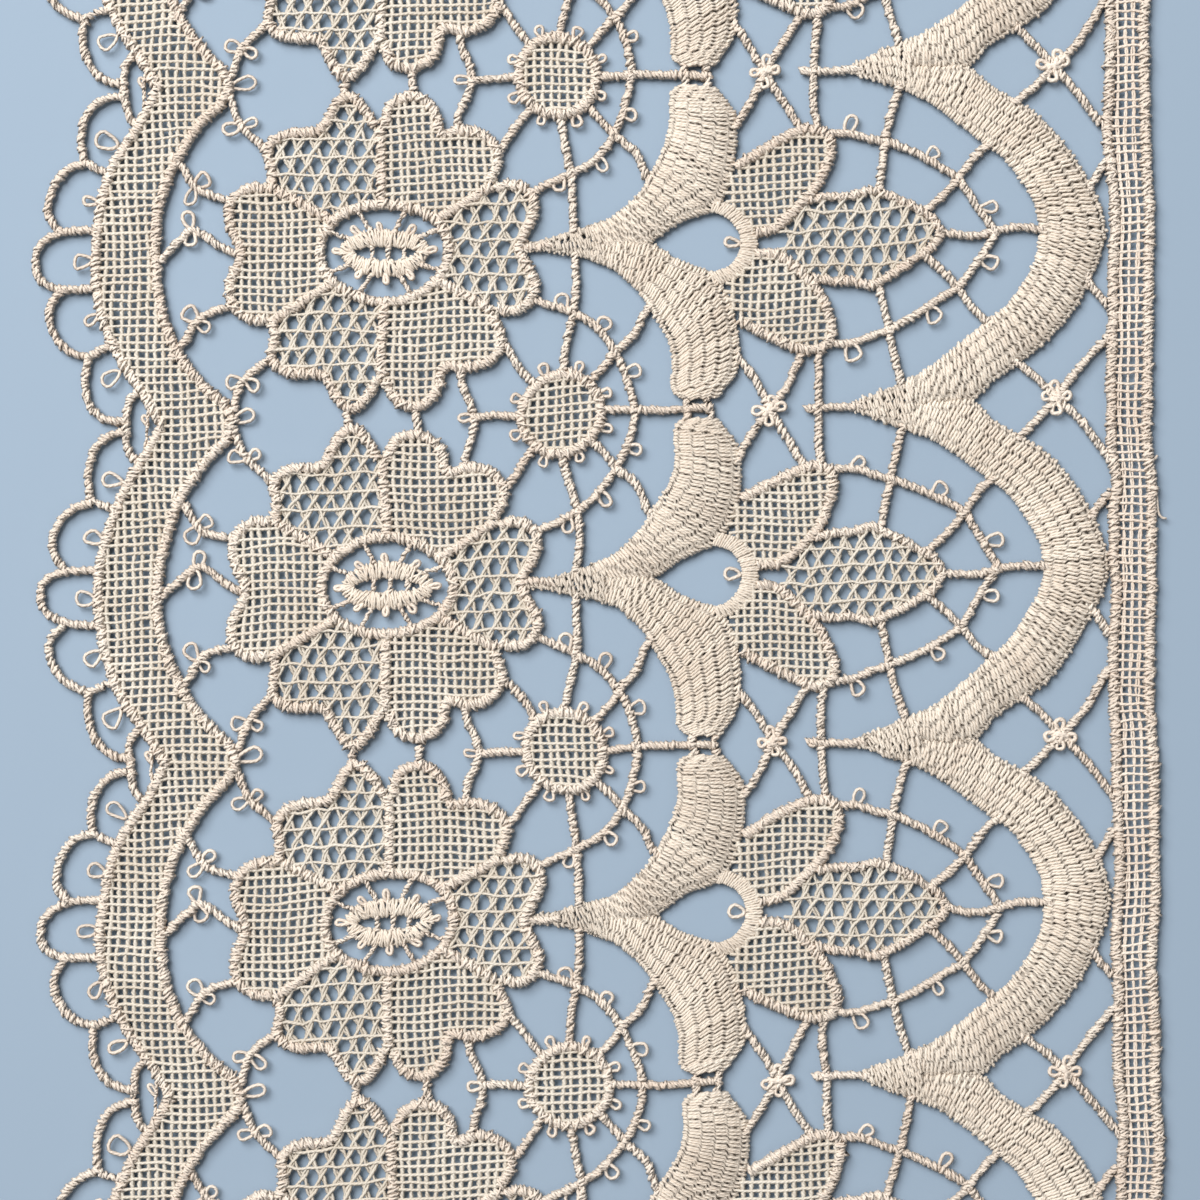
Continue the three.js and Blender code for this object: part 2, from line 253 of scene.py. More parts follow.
def overcast(yarns, path, along, look):
    # A core with a yarn wound over it in slanting, uneven stitches.
    s = look
    steps = len(turns)
    flat = lay(resample(path, s["stitch"] / steps), along)
    ahead, side = sidesOf(flat)
    count = len(flat)
    number = np.arange(count) // steps
    stitches = number[-1] + 1

    def each(kind):
        return rng.normal(0, scatter[kind] * s["uneven"], stitches)[number]

    phase = np.pi * np.array(turns)[np.arange(count) % steps]
    lump = (rng.uniform(0, 1, stitches) < scatter["lumps"])[number] * scatter["lump"] * s["uneven"]
    reach = (s["width"] / 2 - s["thread"]) * (1 + each("reach")) + lump * scatter["lumpSide"]
    shift = (s["slant"] + each("slant")) * np.cos(phase) + each("along")
    line = flat + side * (np.cos(phase) * reach + each("side"))[:, None] - ahead * shift[:, None]
    lift = s["height"] + np.sin(phase) * (s["tall"] + np.where(phase <= np.pi, each("tall") + lump, 0))
    axis = np.column_stack([ahead, np.zeros(count)])
    # The yarn is drawn thin where it turns under at the edges.
    radius = s["thread"] * (1 + scatter["swell"] - scatter["swell"] * np.abs(np.cos(phase)) + each("thread"))
    yarns.add(np.column_stack([line, lift]), radius, cordParts["yarnSides"], axis)
    core = flat[:: cordParts["coreEvery"] * steps]
    if s["core"] and len(core) > 3:
        path = raised(core, s["height"] - cordParts["coreLow"])
        # The core carries painted shade, so that the gaps between the wraps look dark.
        yarns.add(path, s["width"] / 2 - s["thread"], cordParts["coreSides"], shade=s["core"])


def rim(yarns, path, along, wide=1.0):
    for look in (rimStitch, crossStitch):
        overcast(yarns, path, along, {**look, "width": look["width"] * wide})


def spans(across, along):
    # Stretches of a line inside a closed polygon, from its corners' places across and along the line.
    nextAcross, nextAlong = np.roll(across, -1), np.roll(along, -1)
    hit = (across > 0) != (nextAcross > 0)
    share = across[hit] / (across[hit] - nextAcross[hit])
    ends = np.sort(along[hit] + share * (nextAlong[hit] - along[hit]))
    return zip(ends[::2], ends[1::2])


netEnd = {"shortest": 0.4, "tuck": 0.3}


def hatch(polygon, angle, spacing, start=0.0):
    # First and last points of parallel lines across a polygon; their ends are tucked under its rim.
    ahead = np.array([math.cos(angle), math.sin(angle)])
    side = np.array([-ahead[1], ahead[0]])
    across, along = polygon @ side, polygon @ ahead
    first, last = (across.min() - start) / spacing, (across.max() - start) / spacing
    for number in range(math.ceil(first), math.floor(last) + 1):
        at = start + number * spacing
        for low, high in spans(across - at, along):
            if high - low > netEnd["shortest"]:
                yield side * at + ahead * (low - netEnd["tuck"]), side * at + ahead * (high + netEnd["tuck"])


squareNet = {
    "across": 0.85, "along": 0.84, "thick": 0.225, "thin": 0.18, "height": 0.74, "clear": 0.1,
    "sink": 0.05, "swell": 0.13, "over": 0.08, "overMean": 0.6, "overBeat": 0.4, "sides": 4, "reach": 4,
    "stray": 0.04, "sway": 0.06, "jitter": 0.03, "lump": 0.09, "grain": 0.07, "lift": 0.02,
}


def netThread(yarns, start, end, along, spacing, upright, slim=1.0):
    # Uprights swell between crossings; cross threads lie over them and sag a little between.
    s = squareNet
    start, end = np.asarray(start, float), np.asarray(end, float)
    way = 1 if upright else 0
    # Points lie at the crossings and, on uprights, midway between them.
    gap = spacing / 2 if upright else spacing
    steps = np.arange(math.ceil(start[way] / gap), math.floor(end[way] / gap) + 1) * gap
    steps = steps[(steps > start[way] + s["clear"]) & (steps < end[way] - s["clear"])]
    place = np.concatenate([[start[way]], steps, [end[way]]])
    if len(place) == 2:
        place = np.insert(place, 1, place.mean())
    line = start + (end - start) * ((place - start[way]) / (end[way] - start[way]))[:, None]
    count = len(line)
    beat = np.cos(2 * np.pi * place / spacing)
    stray = rng.normal(0, s["stray"]) + drift(count, s["sway"], s["reach"])
    stray = stray + rng.normal(0, s["jitter"], count)
    line = moved(line, stray)
    lump = drift(count, s["lump"], s["reach"]) + rng.normal(0, s["grain"], count)
    if upright:
        height = s["height"] - s["sink"] * beat
        radius = s["thick"] * (1 - s["swell"] * beat + lump)
    else:
        height = s["height"] + s["over"] * (s["overMean"] + s["overBeat"] * beat)
        radius = s["thin"] * slim * (1 + lump)
    height = height + drift(count, s["lift"], s["reach"])
    yarns.add(raised(lay(line, along), height), radius, s["sides"])


def fillSquare(yarns, polygon, along):
    s = squareNet
    for first, last in hatch(polygon, math.pi / 2, s["across"]):
        netThread(yarns, first, last, along, s["along"], True)
    for first, last in hatch(polygon, 0, s["along"]):
        netThread(yarns, first, last, along, s["across"], False)


openNet = {
    "row": 1.74, "hole": 1.74, "height": 0.7, "sides": 4, "lump": 0.12, "reach": 3,
    "level": 0.165, "levelStep": 0.58, "levelOver": 0.13, "levelStray": 0.05, "levelSway": 0.11,
    "levelReach": 2, "levelLift": 0.04,
    "strand": 0.165, "strandStep": 0.6, "strandOver": (0.03, -0.06), "apart": 0.32, "twistTall": 0.2,
    "stray": 0.06, "sway": 0.08, "lift": 0.03,
}


def fillOpen(yarns, polygon, along):
    # Level threads with two slanting families of twisted pairs that cross midway and leave six-sided holes.
    s = openNet
    slope = math.atan2(s["row"], s["hole"] / 2)
    spacing = s["hole"] * math.sin(slope)
    cell = s["row"] / math.sin(slope)
    for first, last in hatch(polygon, 0, s["row"], s["row"] / 2):
        line = resample(np.array([first, last]), s["levelStep"])
        count = len(line)
        line = moved(line, rng.normal(0, s["levelStray"]) + drift(count, s["levelSway"], s["levelReach"]))
        height = s["height"] + s["levelOver"] + drift(count, s["levelLift"], s["reach"])
        radius = s["level"] * (1 + drift(count, s["lump"], s["reach"]))
        yarns.add(raised(lay(line, along), height), radius, s["sides"])
    for angle, over in zip((slope, math.pi - slope), s["strandOver"]):
        for first, last in hatch(polygon, angle, spacing):
            line = resample(np.array([first, last]), s["strandStep"])
            count = len(line)
            stray = rng.normal(0, s["stray"]) + drift(count, s["sway"], s["reach"])
            turn = np.pi * np.linspace(0, np.linalg.norm(last - first), count) / cell + rng.uniform(0, np.pi)
            for way in (-0.5, 0.5):
                strand = moved(line, stray + way * s["apart"] * np.cos(turn))
                height = s["height"] + over + way * s["twistTall"] * np.sin(turn)
                height = height + drift(count, s["lift"], s["reach"])
                radius = s["strand"] * (1 + drift(count, s["lump"], s["reach"]))
                yarns.add(raised(lay(strand, along), height), radius, s["sides"])


# In each column a thread runs ahead, then turns back and dips; the first four are shares of a column.
zigzag = {
    "run": 0.72, "turn": 0.86, "dipWide": 0.1, "clear": 0.1, "edge": 0.06, "shortest": 0.35,
    "edgeOut": 0.05, "stray": 0.03, "lift": 0.02, "thread": 0.06, "pinch": 0.12, "sides": 4, "reach": 4,
}
# A band of the full width has the full crown.
crownLook = {"fullWidth": 4, "power": 3}
edgeCord = {
    "inset": 0.2, "insetShare": 0.3, "radius": 0.2, "radiusShare": 0.2, "least": 0.01,
    "step": 0.6, "low": 0.1, "sides": 4, "shade": 0.9,
}
padding = {
    "first": 0.14, "apart": 0.95, "step": 0.8, "low": 0.3, "crown": 0.7,
    "radius": 0.42, "radiusShare": 0.14, "sides": 4, "shade": 0.55,
}


def crownAt(t):
    return 1 - np.abs(2 * t - 1) ** crownLook["power"]


def satin(yarns, outer, inner, along, look):
    # Dense cross threads between the two edges of a band, over lengthwise padding.
    s, z, e = look, zigzag, edgeCord
    outer, inner = np.asarray(outer, float), np.asarray(inner, float)
    count = max(int((distances(outer)[-1] + distances(inner)[-1]) / 2 / s["pitch"]), 3)
    shares = np.linspace(0, 1, count)
    # Steering turns the threads square to a curved band; the rest is a random lean.
    lean = rng.normal(0, s["tangle"], count) / count + s["steer"] / 2 * np.sin(s["waves"] * np.pi * shares)
    for number, (a, b) in enumerate(zip(placesAt(outer, shares + lean), placesAt(inner, shares - lean))):
        long = np.linalg.norm(b - a)
        if long < z["shortest"]:
            continue
        ahead = (b - a) / long
        wide = np.array([-ahead[1], ahead[0]])
        # Every second edge stitch stands out a little, where the yarn turns back.
        turnOut = s["bump"] * (number % 2) + rng.normal(0, z["edgeOut"] * s["uneven"])
        columns = max(round(long / s["column"]), 1)
        # Near a fork the columns break up into a rough, mottled ground.
        near = min(number, count - number) if s["twoForks"] else number
        rough = min(max((s["rough"] - near / count) / s["fade"], 0), 1)
        skip = s["stagger"] * (number % 2) * 0.5 + 0.5
        skip = (skip + rough * rng.uniform(-0.5, 0.5)) % 1
        # Points lie at the corners of the zigzag, and midway where there is one column.
        spots = [0, z["run"], z["turn"]]
        if columns == 1:
            spots.append(z["run"] / 2)
        corners = (np.arange(0, columns + 2)[:, None] + spots).ravel() - skip
        corners = corners[(corners > z["clear"]) & (corners < columns - z["clear"])] / columns
        t = np.sort(np.concatenate([[0, z["edge"]], corners, [1 - z["edge"], 1]]))
        first, last = a - ahead * turnOut, b + ahead * (s["bump"] - turnOut)
        line = first + (last - first) * t[:, None]
        share = (t * columns + skip) % 1
        saw = np.where(share < z["run"], share / z["run"], (1 - share) / (1 - z["run"])) - 0.5
        dipped = sum(np.exp(-(((share - spot) / z["dipWide"]) ** 2)) for spot in (z["turn"], z["turn"] - 1))
        stray = s["saw"] * saw + rng.normal(0, z["stray"] * s["uneven"])
        stray = stray + drift(len(line), z["stray"] * s["uneven"], z["reach"])
        line = line + wide * stray[:, None]
        crown = s["crown"] * crownAt(t) * min(long / crownLook["fullWidth"], 1)
        height = s["low"] + crown - s["dip"] * dipped + rng.normal(0, z["lift"] * s["uneven"])
        radius = s["thread"] * (1 + rng.normal(0, z["thread"] * s["uneven"]) - z["pinch"] * dipped)
        # Painted shadow at the dips where each thread turns back, over a painted shade for the whole band.
        shade = s["baseShade"] - s["paintedShade"] * np.minimum(dipped, 1)
        yarns.add(raised(lay(line, along), height), radius, z["sides"], shade=shade)
    # Cords under both edges close the gaps between the turns.
    for edge, other in ((outer, inner), (inner, outer)):
        gap = placesAt(other, shares) - placesAt(edge, shares)
        room = np.linalg.norm(gap, axis=1)
        inset = np.minimum(e["inset"], room * e["insetShare"]) / np.maximum(room, e["least"])
        line = placesAt(edge, shares) + gap * inset[:, None]
        radius = np.minimum(e["radius"], room * e["radiusShare"])
        cord = resample(np.column_stack([line, radius]), e["step"])
        path = raised(lay(cord[:, :2], along), s["low"] - e["low"])
        # The edge cords carry a little painted shade.
        yarns.add(path, cord[:, 2], e["sides"], shade=e["shade"])
    middleWidth = np.linalg.norm(placesAt(outer, 0.5) - placesAt(inner, 0.5))
    rows = max(int(middleWidth / padding["apart"]), 2)
    for t in np.linspace(padding["first"], 1 - padding["first"], rows):
        line = resample(placesAt(outer, shares) * (1 - t) + placesAt(inner, shares) * t, padding["step"])
        places = np.linspace(0, 1, len(line))
        room = np.linalg.norm(placesAt(outer, places) - placesAt(inner, places), axis=1)
        crown = s["crown"] * crownAt(t) * padding["crown"] * np.minimum(room / crownLook["fullWidth"], 1)
        radius = np.minimum(padding["radius"], room * padding["radiusShare"])
        path = raised(lay(line, along), s["low"] - padding["low"] + crown)
        # The padding carries painted shade, so that it looks dark where it shows between the threads.
        yarns.add(path, radius, padding["sides"], shade=padding["shade"])


# Pairs are the least and the most of an even spread.
picotLook = {
    "size": (1.05, 1.32), "lean": 0.18, "narrow": (0.72, 1.0), "points": 16, "sides": 4, "corner": 0.22,
    "inside": 0.16, "waist": 0.4, "belly": 0.3, "sway": 0.06, "reach": 4,
    "rise": 0.16, "tilt": 0.09, "lift": 0.03, "thick": (0.9, 1.1),
}


def picot(yarns, base, along, size, toward, narrow=None, height=0.55, thread=0.185):
    # A small loop of single yarn that stands out from a bar or a rim, round to nearly square.
    p = picotLook
    size = size * rng.uniform(*p["size"])
    toward = toward + rng.normal(0, p["lean"])
    if narrow is None:
        narrow = rng.uniform(*p["narrow"])
    t = np.linspace(0, 2 * np.pi, p["points"])
    corner = 1 + rng.uniform(0, p["corner"]) * np.abs(np.sin(2 * t))
    out = (1 - np.cos(t)) * size - p["inside"]
    across = np.sin(t) * (p["waist"] + p["belly"] * (1 - np.cos(t))) * narrow * corner * size
    out = out + drift(p["points"], p["sway"], p["reach"]) * size
    across = across + drift(p["points"], p["sway"], p["reach"]) * size
    c, s = math.cos(toward), math.sin(toward)
    line = np.asarray(base) + np.stack([out * c - across * s, out * s + across * c], 1)
    lift = height + p["rise"] * np.sin(t / 2) + p["tilt"] * np.sin(t) + rng.normal(0, p["lift"])
    yarns.add(raised(lay(line, along), lift), thread * rng.uniform(*p["thick"]), p["sides"])


def addNode(tree, kind, place, **values):
    node = tree.nodes.new(kind)
    node.location = place
    for name, value in values.items():
        setattr(node, name, value)
    return node


def feed(tree, node, inputs):
    # Each input gets a value, or a link from another node's output.
    for name, value in inputs.items():
        if isinstance(value, bpy.types.NodeSocket):
            tree.links.new(value, node.inputs[name])
        else:
            node.inputs[name].default_value = value


def addMath(tree, place, operation, *values):
    node = addNode(tree, "ShaderNodeMath", place, operation=operation)
    feed(tree, node, dict(enumerate(values)))
    return node.outputs[0]


def addRange(tree, place, value, low, high, least):
    node = addNode(tree, "ShaderNodeMapRange", place)
    feed(tree, node, {"Value": value, "From Min": low, "From Max": high, "To Min": least})
    return node.outputs[0]


# Noise scales are for each metre, depths are in metres.
yarnValues = {
    "plies": 2.0, "fibreScale": 5200, "fibreDetail": 3, "fibreRough": 0.8, "patchScale": 160,
    "tintShare": 0.35, "warmRange": (0.75, 1.6), "grooveRange": (-1, 0.2), "lowRange": (0.0002, 0.0009),
    "bump": 0.4, "bumpDepth": 0.00005,
}


def makeYarnLook():
    # Yarn colour with fibre flecks and painted shade in low places, in the grooves between the plies and
    # where the shade attribute marks it, and the twist of its plies as a normal.
    y = yarnValues
    tree = bpy.data.node_groups.new("yarnLook", "ShaderNodeTree")
    face = tree.interface
    for name in ("Pale", "Warm"):
        face.new_socket(name, in_out="INPUT", socket_type="NodeSocketColor")
    for name in ("Twist", "GrooveShade", "LowShade"):
        face.new_socket(name, in_out="INPUT", socket_type="NodeSocketFloat")
    face.new_socket("Colour", in_out="OUTPUT", socket_type="NodeSocketColor")
    face.new_socket("Normal", in_out="OUTPUT", socket_type="NodeSocketVector")
    given = addNode(tree, "NodeGroupInput", (-1200, 0)).outputs
    out = addNode(tree, "NodeGroupOutput", (700, 0))
    yarnMap = addNode(tree, "ShaderNodeUVMap", (-1200, -300), uv_map="yarn")
    parts = addNode(tree, "ShaderNodeSeparateXYZ", (-1000, -300))
    feed(tree, parts, {0: yarnMap.outputs["UV"]})
    along = addMath(tree, (-800, -300), "MULTIPLY", parts.outputs["Y"], given["Twist"])
    around = addMath(tree, (-800, -480), "MULTIPLY_ADD", parts.outputs["X"], y["plies"], along)
    angle = addMath(tree, (-600, -400), "MULTIPLY", around, 2 * math.pi)
    ply = addMath(tree, (-420, -400), "SINE", angle)
    coords = addNode(tree, "ShaderNodeTexCoord", (-1200, 300)).outputs["Object"]
    fibreNode = addNode(tree, "ShaderNodeTexNoise", (-900, 300))
    feed(tree, fibreNode, {"Vector": coords, "Scale": y["fibreScale"], "Detail": y["fibreDetail"]})
    fibre = fibreNode.outputs["Fac"]
    patch = addNode(tree, "ShaderNodeTexNoise", (-900, 560))
    feed(tree, patch, {"Vector": coords, "Scale": y["patchScale"]})
    tint = addNode(tree, "ShaderNodeAttribute", (-900, 100), attribute_name="tint").outputs["Fac"]
    fleck = addMath(tree, (-650, 220), "MULTIPLY_ADD", tint, y["tintShare"], fibre)
    fleck = addMath(tree, (-480, 300), "ADD", fleck, patch.outputs["Fac"])
    warm = addRange(tree, (-300, 300), fleck, *y["warmRange"], 0)
    mix = addNode(tree, "ShaderNodeMix", (-60, 200), data_type="RGBA")
    feed(tree, mix, {"Factor": warm, "A": given["Pale"], "B": given["Warm"]})
    # Painted shade in the grooves between the plies.
    grooveShade = addRange(tree, (-200, -120), ply, *y["grooveRange"], given["GrooveShade"])
    # Painted shade: low places and the places that the shade attribute marks are darker.
    level = addNode(tree, "ShaderNodeSeparateXYZ", (-900, -80))
    feed(tree, level, {0: coords})
    lowShade = addRange(tree, (-600, -80), level.outputs["Z"], *y["lowRange"], given["LowShade"])
    shade = addNode(tree, "ShaderNodeAttribute", (-600, -220), attribute_name="shade").outputs["Fac"]
    dim = addMath(tree, (-60, -60), "MULTIPLY", lowShade, shade)
    dim = addMath(tree, (80, -60), "MULTIPLY", dim, grooveShade)
    # All the painted shade is multiplied into the colour.
    paintedShade = addNode(tree, "ShaderNodeMix", (240, 100), data_type="RGBA", blend_type="MULTIPLY")
    feed(tree, paintedShade, {"Factor": 1, "A": mix.outputs["Result"], "B": dim})
    height = addMath(tree, (-200, -500), "MULTIPLY_ADD", fibre, y["fibreRough"], ply)
    bump = addNode(tree, "ShaderNodeBump", (200, -400))
    feed(tree, bump, {"Strength": y["bump"], "Distance": y["bumpDepth"], "Height": height})
    feed(tree, out, {"Colour": paintedShade.outputs["Result"], "Normal": bump.outputs["Normal"]})
    return tree


yarnLook = makeYarnLook()
cottonFinish = {"Roughness": 0.8, "Specular IOR Level": 0.3, "Sheen Weight": 0.1, "Sheen Roughness": 0.5}


def cotton(name, look):
    material = bpy.data.materials.new(name)
    material.use_nodes = True
    tree = material.node_tree
    yarn = addNode(tree, "ShaderNodeGroup", (-400, 0), node_tree=yarnLook)
    feed(tree, yarn, look)
    shader = tree.nodes["Principled BSDF"]
    feed(tree, shader, cottonFinish)
    feed(tree, shader, {"Base Color": yarn.outputs["Colour"], "Normal": yarn.outputs["Normal"]})
    return material


# In each cotton, the groove and low values are the share of colour left where the painted shade in the ply
# grooves and in low places is deepest.
cottons = {
    "netCotton": {
        "Pale": (0.775, 0.715, 0.62, 1), "Warm": (0.63, 0.545, 0.44, 1),
        "Twist": 2.2, "GrooveShade": 0.84, "LowShade": 0.42,
    },
    "cordCotton": {
        "Pale": (0.90, 0.80, 0.69, 1), "Warm": (0.74, 0.61, 0.50, 1),
        "Twist": 1.9, "GrooveShade": 0.84, "LowShade": 0.55,
    },
    "satinCotton": {
        "Pale": (0.93, 0.835, 0.715, 1), "Warm": (0.75, 0.635, 0.52, 1),
        "Twist": 1.7, "GrooveShade": 0.86, "LowShade": 0.55,
    },
}
netCotton, cordCotton, satinCotton = (cotton(name, look) for name, look in cottons.items())
print("cottons done")

# Bars and loops from end to end, each with a twin across the flower's axis.
leftBars = [
    [(-42.6, 10.1), (-41.3, 8.6), (-40.3, 6.8), (-39, 5.9), (-36.9, 5.4)],
    [(-36.3, 15.8), (-35.6, 13.6), (-34.6, 12.2), (-32.8, 10.6)],
    [(-12.2, half), (-12.6, 15.3), (-13.3, 13.8), (-13.6, 12)],
    [(-6.4, 13.6), (-8.2, 11.1), (-9.4, 9.5)],
    [(-51, 9.6), (-50.1, 9.2), (-48.6, 8.6)],
    [(-45.6, 12.9), (-46.8, 14.4), (-47.1, half + 0.1)],
    [(-24.8, 15.9), (-24.9, half + 0.1)],
    [(-18, 15.5), (-18.1, half + 0.1)],
    [(-50.3, 2.85), (-52.2, 2.8), (-53.7, 2.7), (-55.4, 2.0), (-56.2, 0.9), (-56.2, -0.1)],
    [(-53.6, 2.7), (-54.7, 4.2), (-54.9, 5.8), (-54.2, 7.6), (-52.8, 9.0), (-50.8, 9.7)],
    [(-51, 9.6), (-51.2, 11.5), (-50.9, 13.4), (-49.9, 15.1), (-48.4, 16), (-46.8, 16.2)],
]
rightBars = [
    [(-3.5, 12.8), (-3.1, 9.9), (-2.6, 7.3), (-2.4, 4.8), (-2.5, 1)],
    [(-0.6, 13.8), (1.0, 12), (2.2, 10.4)],
    [(2, 10.9), (3.9, 9.1), (4.6, 7.3), (5.4, 5.8)],
    [
        (-6.8, 5.2), (-4.4, 6.1), (-2.4, 7), (-0.3, 8.3),
        (1.7, 10.6), (2.8, 12.8), (3.5, 15.1), (3.8, half + 0.1),
    ],
    [(17.2, half), (15.8, 14.2), (13.9, 11.4)],
    [(17.2, half), (18.9, 14.1), (20.7, 10.9)],
    [(22.3, 10.9), (22.1, 13.6), (22.1, half + 0.1)],
    [
        (23, 10.5), (25.3, 10.5), (27.4, 9.8), (29.4, 9.2), (31.5, 8.3),
        (33.8, 7), (36.1, 5.5), (38, 2.6), (39.8, 0),
    ],
    [(28.1, 4.6), (28.8, 8), (29.4, 10.7), (30.3, 13.9), (30.7, 15)],
    [(32.3, 1.9), (34.4, 3.6), (36.2, 5.5), (37.9, 7.7), (39.7, 9.2)],
    [(46, half), (44.3, 14.9), (41.8, 12.7)],
    [(46, half), (48.3, 14.3), (51.1, 10.4)],
    [(48.6, 3.7), (49.7, 5.6), (51, 7.3)],
    [(9.1, 15), (9.1, half + 0.1)],
    [(11.3, 15), (11.3, half + 0.1)],
]
# Bars along an axis have no twin.
leftAxis = [
    [(-44.0, -0.4), (-42.6, 0.9), (-41.5, 1.8), (-40.4, 2.6), (-39.1, 2.0), (-37.8, 0.9), (-36, -0.1)],
]
rightAxis = [
    [(-8.4, 0), (-7, 0.1), (-4.6, 0)],
    [(33.8, 0.1), (36, -0.3), (38, -0.4), (39.8, 0), (42, 0.3), (44.9, 0.1)],
]
sunBars = [
    [(-12.4, 0), (-10, 0.1), (-7.6, 0)],
    [(0.4, 0), (3.8, 0.1), (6.5, 0), (9, 0.05), (11.5, 0)],
    [(20.8, 0), (22, 0), (24, -0.05), (26.6, 0)],
]
barSway = 0.13


def addBars(yarns, twins, singles):
    for along in flowerAxes:
        for path in [way for path in twins for way in (np.asarray(path, float), flip(path))] + singles:
            bent = spline(path, "bar")
            sway = np.sin(np.linspace(0, np.pi, len(bent)))[:, None] * rng.normal(0, barSway, 2)
            overcast(yarns, bent + sway, along, barStitch)


leftYarns = Yarns("loopsAndLeftBars")
addBars(leftYarns, leftBars, leftAxis)
# Where four bars cross, small loops stand round a knot of a few stitches.
knots = {
    "places": (17.2, 46.0), "heart": 0.6, "stray": 0.12, "stitches": 5, "reach": 0.8, "yarn": 0.24,
    "sides": 5, "shares": (-1, -0.5, 0.1, 0.6, 1), "heights": (0.55, 0.85, 1.0, 0.85, 0.55),
    "loop": {"size": 0.46, "narrow": 0.85, "height": 0.7, "thread": 0.22},
}
rightYarns = Yarns("rightBars")
addBars(rightYarns, rightBars, rightAxis)
for along in sunAxes:
    for path in sunBars:
        overcast(rightYarns, spline(path, "bar"), along, barStitch)
    for u in knots["places"]:
        for quarter in range(4):
            angle = quarter * np.pi / 2 + rng.normal(0, knots["stray"])
            spot = (u + knots["heart"] * np.cos(angle), knots["heart"] * np.sin(angle))
            picot(rightYarns, spot, along, toward=angle, **knots["loop"])
        for angle in rng.uniform(0, np.pi, knots["stitches"]):
            reach = np.array([np.cos(angle), np.sin(angle)]) * knots["reach"]
            stitch = np.outer(knots["shares"], reach) + rng.normal(0, knots["stray"], 2) + [u, 0]
            rightYarns.add(raised(lay(stitch, along), knots["heights"]), knots["yarn"], knots["sides"])
lacePieces = [leftYarns.build(cordCotton), rightYarns.build(cordCotton)]
print("bars done")

# The flower, from its middle: its eye, then its petals' outlines clockwise over the upper half.
middle = np.array([-21.4, 0])
eye = {
    "ringA": 6.55, "ringB": 4.9, "ovalA": 4.5, "ovalB": 2.35, "slitA": 3.25, "slitB": 0.72, "tip": 3.9,
    "spokes": (21, 62, 120, 160, 200, 238, 302, 340), "picots": (0, 36, 97, 144, 180, 216, 270, 320),
    "slitBars": (-1.25, 0.35, 2.0), "slitBarHalf": 0.95, "slitBarWidth": 0.64,
}
leftHalf = [
    (-14.8, 0), (-15.1, 1.0), (-15.8, 2.4), (-16.0, 3.9),
    (-15.7, 5.4), (-14.6, 6.6), (-13.0, 7.3), (-11.7, 7.0),
]
upperLeft = [
    (-11.7, 7.0), (-11.5, 8.4), (-11.8, 10.4), (-11.0, 11.7), (-9.3, 12.5), (-7.5, 12.6), (-6.3, 12.8),
    (-5.5, 14.2), (-4.5, 15.7), (-3.3, 16.4), (-2.2, 16.0), (-1.0, 14.6), (-0.1, 13.0),
]
upperRight = [
    (-0.1, 13.0), (0.5, 14.7), (1.8, 15.7), (3.6, 15.9), (5.2, 15.1), (6.2, 13.6), (6.5, 12.0), (7.8, 12.4),
    (9.6, 12.2), (11.3, 11.3), (12.2, 9.9), (12.2, 8.4), (11.5, 6.9), (11.2, 6.4),
]
rightHalf = [
    (11.2, 6.4), (12.5, 6.8), (14.3, 6.4), (15.4, 5.1), (15.6, 3.6), (15.0, 2.1), (14.2, 0.7), (14.0, 0),
]
petals = [
    (fillSquare, np.concatenate([mirrored(leftHalf), leftHalf[1:]])),
    (fillOpen, np.array(upperLeft)),
    (fillSquare, np.array(upperRight)),
    (fillOpen, withTwin(rightHalf)),
    (fillSquare, mirrored(upperRight)),
    (fillOpen, mirrored(upperLeft)),
]
petalRim = {"inset": 0.55, "toTip": 0.97, "ringPoints": 80}
petalNet = {"inset": 0.7, "ringPoints": 8}


def ellipseAt(a, b, angle):
    radius = a * b / np.hypot(b * np.cos(angle), a * np.sin(angle))
    return np.stack([radius * np.cos(angle), radius * np.sin(angle)], -1)


def eyeRing(angle):
    return ellipseAt(eye["ringA"], eye["ringB"], angle)


def petalField(outline):
    # The net's field: the outline drawn in, closed along the ring round the eye.
    path = spline(outline, "petalNet")
    path = path * (1 - petalNet["inset"] / np.linalg.norm(path, axis=1, keepdims=True))
    ends = np.unwrap(np.arctan2(path[[0, -1], 1], path[[0, -1], 0]))
    return np.concatenate([path, eyeRing(np.linspace(ends[1], ends[0], petalNet["ringPoints"]))])


rimYarns = Yarns("flowerRims")
for along in flowerAxes:
    for _, outline in petals:
        rim(rimYarns, offset(spline(outline, "rim"), -petalRim["inset"]) + middle, along)
        tip = outline[0]
        foot = eyeRing(math.atan2(tip[1], tip[0]))
        rim(rimYarns, np.array([foot, tip * petalRim["toTip"]]) + middle, along)
    rim(rimYarns, eyeRing(np.linspace(0, 2 * np.pi, petalRim["ringPoints"])) + middle, along)
lacePieces.append(rimYarns.build(cordCotton))

# Each edge of the tape is a bow that runs straight from its end to the corner between two repeats.
tape = {
    "left": {"middle": -30.0, "radius": 20.8, "end": 13.3, "straight": (-46.0, -44.0)},
    "right": {"middle": -24.6, "radius": 19.3, "end": 15.0, "straight": (-36.75, -35.9)},
    "rimInset": 0.5, "netInset": 0.8, "rimPoints": 120, "netPoints": 80,
}


def tapeEdges(count, inset):
    v = np.linspace(-half, half, count)
    paths = []
    for side, way in (("left", 1), ("right", -1)):
        edge = tape[side]
        bow = edge["middle"] - np.sqrt(np.maximum(edge["radius"] ** 2 - np.abs(v) ** 2, 0))
        straight = np.interp(np.abs(v), [edge["end"], half], edge["straight"])
        paths.append(np.stack([np.where(np.abs(v) < edge["end"], bow, straight) + way * inset, v], 1))
    return paths


